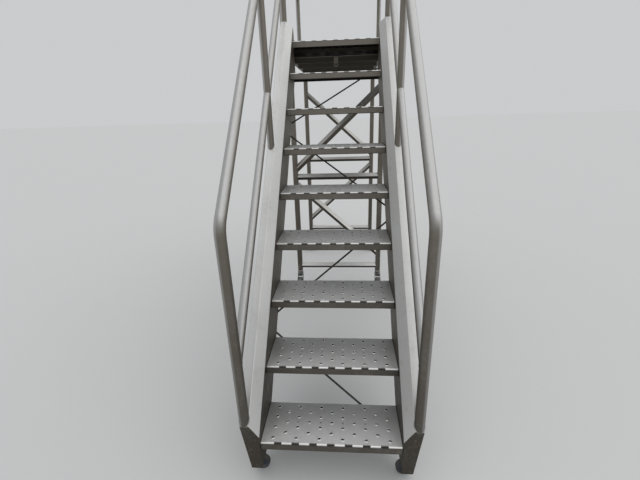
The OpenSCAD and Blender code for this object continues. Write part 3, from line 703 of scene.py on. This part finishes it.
# Four square legs stand on foot plates, which are bolted down on the castors. Tubes tie them across at knee
# and chest height, near and far, and a diagonal crosses each bay, sawn upright where it meets the legs.
PLATE_T = 0.006
for word in ("near", "far"):
    lo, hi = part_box("legs_" + word)
    y, half = (lo.y + hi.y) / 2, (hi.y - lo.y) / 2
    foot = rounded(oblong(-half, -half, half, half), 0.006)
    skins = []
    for x in (leg_x, -leg_x):
        skins += square_tube(LEG, (x, y, lo.z), (x, y, hi.z), Y)
        skins += extrude(foot, (x, y, lo.z), X, Y, Z, PLATE_T)
        seam = rounded(oblong(-LEG / 2, -LEG / 2, LEG / 2, LEG / 2), TUBE_R) + (x, y)
        skins += weld(np.insert(seam, 2, lo.z + PLATE_T, axis=1), 0.0028, closed=True)
    put("leg_tubes_" + word, skins, "frame", tower_steel, "tower_tube", "legs_" + word)

BRACE, BRACE_OFF, BRACE_CLIMB = 0.038, 0.072, 0.581
brace_steel = steel("brace_tube", light=(0.56, 0.55, 0.52), film=(0.160, 0.142, 0.118), grain=(0.3, 0.5, 0.3),
                    stain=0.6)[0]
for word, tilt in (("near", 1), ("far", -1)):
    lo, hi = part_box("rails_" + word)
    y, half = (lo.y + hi.y) / 2, (hi.y - lo.y) / 2
    skins = []
    for z in (lo.z + half, hi.z - half):
        skins += square_tube(half * math.sqrt(2), (lo.x, y, z), (hi.x, y, z), ON_CORNER, welded=True)
    put("cross_rails_" + word, skins, "frame", tower_steel, "tower_tube", "rails_" + word)
    skins = []
    for z0, lean in ((hi.z - half + BRACE_OFF, tilt), (hi.z - half - BRACE_OFF - BRACE_CLIMB, -tilt)):
        way = np.array([hi.x - lo.x, 0, lean * BRACE_CLIMB])
        middle = np.array([0, y, z0 + BRACE_CLIMB / 2])
        corner_up = unit(np.array([-way[2], 0, way[0]])) + Y
        skins += square_tube(BRACE, middle - way / 2, middle + way / 2, corner_up, [(X, hi.x), (-X, -lo.x)],
                             welded=True)
    put("diagonals_" + word, skins, "frame", brace_steel, "brace_tube", "braces_" + word)

# Thin rods of dark drawn steel zigzag from stringer to stringer behind the treads, and are tacked under the
# stringers' backs with blobs of weld. The last one runs on to the inner face of a near leg.
ROD_R, ROD_START, ROD_LOW, ROD_RUN, ROD_GAP = 0.005, 0.107, 0.159, 0.383, 0.064
rod_steel = steel("drawn_rod", light=(0.10, 0.095, 0.085), film=(0.040, 0.036, 0.030), rough=0.45,
                  grain=(0.1, 0.3, 0.3), stain=0.2)[0]


def tube(path, radius, bends=None, sides=32, foot=None, head=None):
    """A round tube along a path, with an arc of the given radius at each inner corner. The ring of each
    point is the last ring turned by the smallest turn that squares it to the path. foot and head are
    planes (normal, depth) that saw off the ends. Gives the skins and the rings."""
    line = np.asarray(path, float)
    if bends is not None:
        line = rounded(line, [0, *bends, 0], steps=10, closed=False)
    ahead = unit(np.diff(line, axis=0))
    tangent = unit(np.vstack([ahead[:1], ahead[1:] + ahead[:-1], ahead[-1:]]))
    u = np.cross(tangent[0], np.eye(3)[np.argmin(np.abs(tangent[0]))])
    rings = []
    for p, t in zip(line, tangent):
        u = unit(u - (u @ t) * t)
        rings.append(p + radius * circle(sides, u, np.cross(t, u)))
    rings = np.array(rings)
    for at, plane, way in ((0, foot, ahead[0]), (-1, head, ahead[-1])):
        if plane:
            normal, depth = plane
            rings[at] += ((depth - rings[at] @ normal) / (normal @ way))[:, None] * way
    return [between(rings), rings[0][::-1][None], rings[-1][None]], rings


off = -BACK_DOWN - ROD_R
end_x, leg_in = CLEAR + BACK_W / 2, leg_x - LEG / 2
skins = []
for i in range(4):
    last = i == 3
    start = ROD_START + i * (ROD_RUN + ROD_GAP)
    stop = string_end - nose_y + LEG - ROD_R if last else start + ROD_RUN
    side = (-1) ** i
    ends = []
    far_x = leg_in + 2 * ROD_R if last else end_x
    for x, run in ((side * end_x, max(start, ROD_LOW)), (-side * far_x, stop)):
        s = (run + off * math.sin(pitch)) / math.cos(pitch)
        ends.append(np.array([x, nose_y, RISE]) + off * square_up + s * along_flight)
    rod, rings = tube(ends, ROD_R, sides=16, head=(-side * X, leg_in) if last else None)
    skins += rod
    for p in ends[:1] if last else ends:
        inward = -math.copysign(1, p[0]) * X
        for shift in (ROD_R, -ROD_R):
            seam = p + inward * 0.0135 + shift * along_flight + 0.0042 * square_up
            skins += weld([seam - 0.022 * inward, seam], 0.0028)
    if last:
        skins += weld(rings[-1], closed=True)
put("zigzag_rods", skins, "frame", rod_steel, "rod", "tie_rods")

# Each handrail is one stainless tube, bent down at both ends to stand on the stringer's flat top and on the
# square cut behind it, with a bead of weld round each foot. A thinner knee rail is welded in below it, and
# an upright between.
POST_X = CLEAR + SLANT + FLAT / 2
RAIL_UP, LOW_BEND, HIGH_BEND, KNEE_UP = 0.650, 0.100, 0.080, 0.258
BEAD_R, BEAD_UP = 0.0024, 0.0006
rail_steel = steel("rail_tube", light=(0.51, 0.51, 0.505), film=(0.185, 0.168, 0.144), rough=0.34,
                   grain=(0.5, 0.5, 0.5), stain=0.4, clean=0.90)[0]


def radius_of(node):
    """Half of a tube's width across the flight."""
    lo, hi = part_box(node)
    return (hi.x - lo.x) / 2


def saddle(x, y, facing, thick, thin, height, slope=0.0):
    """The seam of a thin tube on an upright one at (x, y): a circle of radius thin, whose points lie
    sqrt(thick^2 - across^2) behind or before the upright's middle. height gives the thin tube's height at
    each y, and slope is its climb."""
    across, up = thin * circle(48).T
    seam_y = y + facing * np.sqrt(thick ** 2 - across ** 2)
    return np.stack([x + across, seam_y, height(seam_y) + up / math.cos(slope)], 1)


RAIL_R, KNEE_R, BAR_R = (radius_of(node + "_right") for node in ("handrail", "knee_rail", "baluster"))
rail_lo, rail_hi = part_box("handrail_right")
front_y, rear_y = rail_lo.y + RAIL_R, rail_hi.y - RAIL_R
bar_y = np.mean(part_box("baluster_right"), axis=0)[1]
flat_top = (square_up, square_up @ np.array([0, nose_y, RISE]) + flat_up)
for side, word in BOTH:
    x = side * POST_X
    path = [(x, front_y, line_z(front_y, flat_up)), (x, front_y, line_z(front_y, RAIL_UP)),
            (x, rear_y, line_z(rear_y, RAIL_UP)), (x, rear_y, string_top)]
    skins, rings = tube(path, RAIL_R, [LOW_BEND, HIGH_BEND], sides=40, foot=flat_top, head=square_cut)
    # In front the bead is ground back, so that it is level with the tube.
    bead = rings[0] + BEAD_UP * Z
    bead[:, 1] = np.maximum(bead[:, 1], rail_lo.y + 0.0029)
    skins += weld(bead, BEAD_R, closed=True) + weld(rings[-1] + BEAD_UP * Z, BEAD_R, closed=True)
    put("handrail_tube_" + word, skins, "frame", rail_steel, "rail_tube", "handrail_" + word)

    skins = tube([(x, y, line_z(y, KNEE_UP)) for y in (front_y, rear_y)], KNEE_R, sides=36)[0]
    for y, facing in ((front_y, 1), (rear_y, -1)):
        seam = saddle(x, y, facing, RAIL_R, KNEE_R, lambda seam_y: line_z(seam_y, KNEE_UP), pitch)
        skins += weld(seam, 0.002, closed=True)
    put("knee_tube_" + word, skins, "frame", rail_steel, "rail_tube", "knee_rail_" + word)

    path = [(x, bar_y, line_z(bar_y, up)) for up in (flat_up, RAIL_UP)]
    skins, rings = tube(path, BAR_R, sides=36, foot=flat_top)
    skins += weld(rings[0] + BEAD_UP * Z, closed=True)
    across, back = BAR_R * circle(48).T
    dip = RAIL_R - np.sqrt(RAIL_R ** 2 - across ** 2) * 0.97
    seam_z = line_z(bar_y + back, RAIL_UP - RAIL_R) + dip / math.cos(pitch)
    skins += weld(np.stack([x + across, bar_y + back, seam_z], 1), 0.002, closed=True)
    put("upright_tube_" + word, skins, "frame", rail_steel, "rail_tube", "baluster_" + word)

# A guard on each side of the platform is bent from one tube too. Its posts stand outside the floor and are
# welded to flat plates on the toe boards, and their feet are closed by caps.
GUARD_BEND, PAD_T, PAD_W = 0.080, 0.004, 0.060
GUARD_R = radius_of("guard_right")
guard_lo, guard_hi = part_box("guard_right")
guard_x, guard_top = guard_hi.x - GUARD_R, guard_hi.z - GUARD_R
guard_ys = (guard_lo.y + GUARD_R, guard_hi.y - GUARD_R)
mid_lo, mid_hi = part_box("guard_knee_rails")
mid_z, MID_R = (mid_lo.z + mid_hi.z) / 2, (mid_hi.z - mid_lo.z) / 2
pads_lo, pads_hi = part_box("post_plates")
for side, word in BOTH:
    x = side * guard_x
    heights = (guard_lo.z, guard_top, guard_top, guard_lo.z)
    path = [(x, y, z) for y, z in zip(np.repeat(guard_ys, 2), heights)]
    skins = tube(path, GUARD_R, [GUARD_BEND, GUARD_BEND], sides=36)[0]
    for y in guard_ys:
        for s in (1, -1):
            seam_x, seam_y = x - side * GUARD_R * 0.93, y + s * GUARD_R * 0.42
            skins += weld([(seam_x, seam_y, z) for z in (pads_lo.z + 0.004, pads_hi.z - 0.004)])
    put("guard_tube_" + word, skins, "frame", rail_steel, "rail_tube", "guard_" + word)

    skins = tube([(x, y, mid_z) for y in guard_ys], MID_R)[0]
    for y, facing in zip(guard_ys, (1, -1)):
        skins += weld(saddle(x, y, facing, GUARD_R, MID_R, lambda seam_y: mid_z), 0.0017, closed=True)
    put("guard_knee_tube_" + word, skins, "frame", rail_steel, "rail_tube", "guard_knee_rails")

    skins = []
    for y in guard_ys:
        h, w = (pads_hi.z - pads_lo.z) / 2, PAD_W / 2
        centre = (side * (pads_hi.x - PAD_T), min(y, deck_end - w), (pads_lo.z + pads_hi.z) / 2)
        skins += extrude(rounded(oblong(-w, -h, w, h), 0.006), centre, Y, Z, side * X, PAD_T)
    put("guard_plates_" + word, skins, "frame", plate_steel, "plate", "post_plates", bevel=0.0005)

# Under each foot a small fixed wheel is held between two cheeks, which hang from a bridge that is welded
# inside the stringer. The axle is a pin, and its ends stand out through a washer on each cheek.
WHEEL_R, WHEEL_W, AXLE_R, SIDE_GAP, HUB_GAP, BORE_GAP = 0.0375, 0.024, 0.005, 0.003, 0.001, 0.00005
CHEEK_T, CHEEK_W, WASHER_T = 0.004, 0.018, 0.0012


def about(axis, n, start=0.0):
    """n points of a circle of radius 1 round an axis."""
    u = np.cross(axis, Z) if abs(axis[2]) < 0.9 else X
    return circle(n, u, np.cross(axis, u), start)


def turned(profile, centre, axis, sides=48, start=0.0):
    """A shape turned on a lathe: the profile's points (radius, along) circle the axis through the centre."""
    profile = np.asarray(profile, float)
    rings = centre + profile[:, 1, None, None] * axis + profile[:, 0, None, None] * about(axis, sides, start)
    if np.allclose(profile[0], profile[-1]):
        rings[-1] = rings[0]
        return [between(rings)]
    return [between(rings), rings[0][::-1][None], rings[-1][None]]


def washer(face, way, wide):
    """A washer on a face, wide times as wide as the axle."""
    return turned([(AXLE_R * wide, 0), (AXLE_R * wide, WASHER_T), (AXLE_R, WASHER_T)], face, way, 32)


def both_sides(half):
    """A closed profile of a wheel: the points (radius, along) of one half, and their mirror image."""
    half = np.asarray(half, float)
    return np.vstack([half, (half * (1, -1))[::-1], half[:1]])


def tyre_profile(rim_r, r, width):
    """A tyre's section: a flat tread, round shoulders, and a bead that grips the rim."""
    round_r = width / 5
    shoulder = (r - round_r, round_r - width / 2) + round_r * arc(6, -math.pi / 2, 0)
    return both_sides([(rim_r, 0.0018 - width / 2), (rim_r + 0.0012, -width / 2), *shoulder])


def spokes(count, centre, axis, web, root, length, half_w, height):
    """Spokes on both faces of a wheel's web: rounded bars that run out from radius root."""
    bar = rounded(oblong(0, -half_w, length, half_w), half_w / 3, steps=2)
    skins = []
    for out in about(axis, count):
        for way in (axis, -axis):
            skins += extrude(bar, centre + root * out + web * way, out, np.cross(out, axis), way, height)
    return skins


def plastic(name, tone, rough=0.5):
    """Moulded or cast material in one tone, scuffed in patches, with dust that lies where it looks up."""
    made, shader, place = material(name)
    up = place.beside("Normal").axis(2)
    patch, fleck = place.cloud(26.0, 4.0), place.cloud(240.0, 2.0)
    shade = (0.5 + 0.35 * (patch - 0.5) + 0.25 * (fleck - 0.5)).clamp()
    colour = shade.mix(rgb(*(t * 0.6 for t in tone)), rgb(*(t * 1.4 for t in tone)))
    settled = (up.step(0.1, 0.9) * 0.45 + 0.10) * patch.step(0.30, 0.75)
    bump = place.node("Bump", {}, {"Strength": 0.25, "Distance": 0.0006, "Height": fleck * 0.5 + patch * 0.5})
    feed(shader, place, {"Base Color": settled.mix(colour, rgb(0.36, 0.34, 0.31)), "Normal": bump,
                         "Roughness": rough + 0.25 * patch})
    return made


cheek_steel = steel("cheek_plate", light=(0.46, 0.45, 0.43), film=(0.150, 0.134, 0.112), rough=0.42,
                    stain=0.6)[0]
tyre_rubber = plastic("grey_tyre", (0.030, 0.030, 0.032), rough=0.55)
front_plastic = plastic("blue_grey_hub", (0.032, 0.045, 0.080), rough=0.38)
rim, web = WHEEL_R - 0.011, WHEEL_W / 5
hub_half = WHEEL_W / 2 + SIDE_GAP
gap = hub_half + HUB_GAP
far = gap + CHEEK_T
cheek_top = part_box("front_cheeks")[1].z
under = cheek_top - CHEEK_T - WHEEL_R
cheek = np.vstack([CHEEK_W / 2 * arc(17, math.pi, math.tau), [(CHEEK_W / 2, under), (-CHEEK_W / 2, under)]])
hub_r = 2 * AXLE_R
hub = both_sides([(AXLE_R + BORE_GAP, -hub_half), (hub_r - 0.001, -hub_half), (hub_r, 0.001 - hub_half),
                  (hub_r, -web - 0.001), (hub_r + 0.001, -web), (rim - 0.006, -web),
                  (rim - 0.0045, -web - 0.001), (rim - 0.0035, 0.0025 - WHEEL_W / 2),
                  (rim - 0.003, 0.002 - WHEEL_W / 2), (rim, 0.002 - WHEEL_W / 2)])
for side, word in BOTH:
    centre = np.mean(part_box("front_tyre_" + word), axis=0)
    skins = turned([(AXLE_R, -gap), (AXLE_R, gap)], centre, Y, 32)
    for way in (Y, -Y):
        skins += extrude(cheek, centre + gap * way, X, Z, way, CHEEK_T)
        face = centre + far * way
        skins += washer(face, way, 1.5)
        skins += turned([(AXLE_R, -0.002), (AXLE_R, 0.0016), (AXLE_R * 0.8, 0.002)], face, way, 32)
    inner, outer = side * (CLEAR + SHEET), centre[0] + side * CHEEK_W / 2
    bridge = rounded(oblong(min(inner, outer), 0, max(inner, outer), CHEEK_T), 0.0008, steps=2)
    skins += extrude(bridge, (0, centre[1] + far, cheek_top - CHEEK_T), X, Z, -Y, 2 * far)
    skins += weld([(inner, centre[1] + y, cheek_top) for y in (-gap, gap)], 0.0025)
    put("wheel_bracket_" + word, skins, "frame", cheek_steel, "plate", "front_cheeks", bevel=0.0004)

    body = "front_wheel_" + word
    skins = turned(hub, centre, Y) + spokes(5, centre, Y, web, 0.0095, rim - 0.0145, 0.0012, 0.0035)
    put("front_rim_" + word, skins, body, front_plastic, "front_hub", "front_hub_" + word)
    skins = turned(tyre_profile(rim, WHEEL_R, WHEEL_W), centre, Y, 64)
    put("front_rubber_" + word, skins, body, tyre_rubber, "front_tyre", "front_tyre_" + word)

# A swivel castor is bolted under each leg. Its head is a zinc plated disc with a kingpin, and its fork
# is a pressed crown, welded to two plates that hold the axle bolt. The wheel has a plastic centre.
CASTOR_R, CASTOR_W, TRAIL = 0.075, 0.034, 0.045
HEAD_R, HEAD_T, PIN_R, CROWN_T, SEAT = 0.024, 0.010, 0.006, 0.012, 0.0003
FORK_T, BOSS_R, NUT_H, WEB_H = 0.004, 0.013, 0.006, 0.0195
zinc = steel("zinc_plate", light=(0.42, 0.425, 0.43), film=(0.19, 0.187, 0.18), rough=0.40,
             grain=(0.6, 0.6, 0.6), stain=0.6)[0]
castor_rubber = plastic("castor_tyre_rubber", (0.045, 0.045, 0.047), rough=0.6)
castor_plastic = plastic("castor_centre", (0.17, 0.17, 0.18), rough=0.42)
hub_r, rim, web = 0.018, CASTOR_R - 0.018, CASTOR_W / 5
gap = CASTOR_W / 2 + SIDE_GAP
hub_half = gap - HUB_GAP


def hexagon(centre, axis, across, height, start=0.0):
    """A nut or a bolt head, drawn from its centre outwards along the axis, with its corners turned off."""
    r = across / math.sqrt(3)
    return turned([(r, 0), (r, height * 0.82), (r * 0.86, height)], centre, axis, 6, start)


disc = [(PIN_R, 0), (HEAD_R - 0.001, 0), (HEAD_R, 0.001), (HEAD_R, HEAD_T - 0.001), (HEAD_R - 0.001, HEAD_T),
        (PIN_R, HEAD_T)]
crown = [(PIN_R + BORE_GAP, 0), (HEAD_R - 0.002, 0), (HEAD_R, 0.002), (HEAD_R, 0.0045),
         (HEAD_R - 0.0018, 0.0055), (HEAD_R - 0.0018, 0.0070), (HEAD_R, 0.0080), (HEAD_R, CROWN_T - 0.001),
         (HEAD_R - 0.001, CROWN_T), (PIN_R + BORE_GAP, CROWN_T), (PIN_R + BORE_GAP, 0)]
hub = both_sides([(AXLE_R + BORE_GAP, -hub_half), (hub_r - 0.008, -hub_half),
                  (hub_r - 0.006, 0.001 - hub_half), (hub_r, -web - 0.002), (hub_r + 0.002, -web),
                  (rim - 0.007, -web), (rim - 0.005, -web - 0.001), (rim - 0.004, 0.003 - CASTOR_W / 2),
                  (rim - 0.003, 0.002 - CASTOR_W / 2), (rim, 0.002 - CASTOR_W / 2)])
front, back = HEAD_R - FORK_T, FORK_T / 2 - HEAD_R
bridge = rounded(oblong(-gap - FORK_T, 0, gap + FORK_T, FORK_T), [0.0008, 0.0008, 0.0030, 0.0030], steps=3)
for n in range(1, 5):
    crown_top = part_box("castor_fork_%d" % n)[1].z
    axle = np.mean(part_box("castor_tyre_%d" % n), axis=0)
    pin = axle + TRAIL * Y
    foot = pin * (1, 1, 0)
    crown_low, head_z = crown_top - CROWN_T, crown_top + SEAT
    nut_z = crown_low - SEAT

    skins = turned(disc, foot + head_z * Z, Z)
    skins += turned([(PIN_R, nut_z), (PIN_R, head_z + HEAD_T)], foot, Z, 32)
    skins += hexagon(foot + nut_z * Z, -Z, 3.2 * PIN_R * 0.866, NUT_H)
    tip = [(PIN_R * 0.62, -0.0004), (PIN_R * 0.8, 0.0005), (PIN_R * 0.8, 0.001)]
    skins += turned(tip, foot + (nut_z - NUT_H) * Z, Z, 24)
    put("castor_head_disc_%d" % n, skins, "frame", zinc, "castor_steel", "castor_heads")

    skins = turned(crown, foot + crown_low * Z, Z, 56)
    skins += extrude(bridge, (pin[0], pin[1] + front, crown_low), X, Z, -Y, front - back)
    boss = BOSS_R * arc(19, math.pi, math.tau) + (-TRAIL, axle[2])
    plate = rounded([(BOSS_R - TRAIL, axle[2]), (front, crown_low - FORK_T), (front, crown_low),
                     (back, crown_low), (-TRAIL - BOSS_R / 2, crown_low - 2 * BOSS_R),
                     (-TRAIL - BOSS_R, axle[2])], 0.004, closed=False)
    plate = np.vstack([boss, plate[1:-1]])
    for way in (X, -X):
        side_x = pin[0] + gap * way[0]
        skins += extrude(plate, (side_x, pin[1], 0), Y, Z, way, FORK_T)
        face = axle + (gap + FORK_T) * way
        skins += washer(face, way, 1.9) + hexagon(face + WASHER_T * way, way, 0.0150, 0.0030, 0.3)
        skins += weld([(side_x, pin[1] + y, crown_low - 0.0005) for y in (back + 0.002, front - 0.002)],
                      0.0018)
    skins += turned([(AXLE_R, -gap), (AXLE_R, gap)], axle, X, 32)
    skins += extrude(oblong(-gap, crown_low - WEB_H, gap, crown_low), (pin[0], pin[1] + back + FORK_T, 0),
                     X, Z, -Y, FORK_T)
    put("castor_fork_plates_%d" % n, skins, "castor_%d" % n, zinc, "castor_steel",
        "castor_fork_%d" % n, bevel=0.0005)

    wheel = "castor_wheel_%d" % n
    skins = turned(hub, axle, X, 56)
    skins += spokes(8, axle, X, web, hub_r - 0.002, rim - hub_r - 0.0025, 0.0015, 0.0055)
    put("castor_rim_%d" % n, skins, wheel, castor_plastic, "castor_hub", "castor_hub_%d" % n)
    skins = turned(tyre_profile(rim, CASTOR_R, CASTOR_W), axle, X, 72)
    put("castor_rubber_%d" % n, skins, wheel, castor_rubber, "castor_tyre", "castor_tyre_%d" % n)
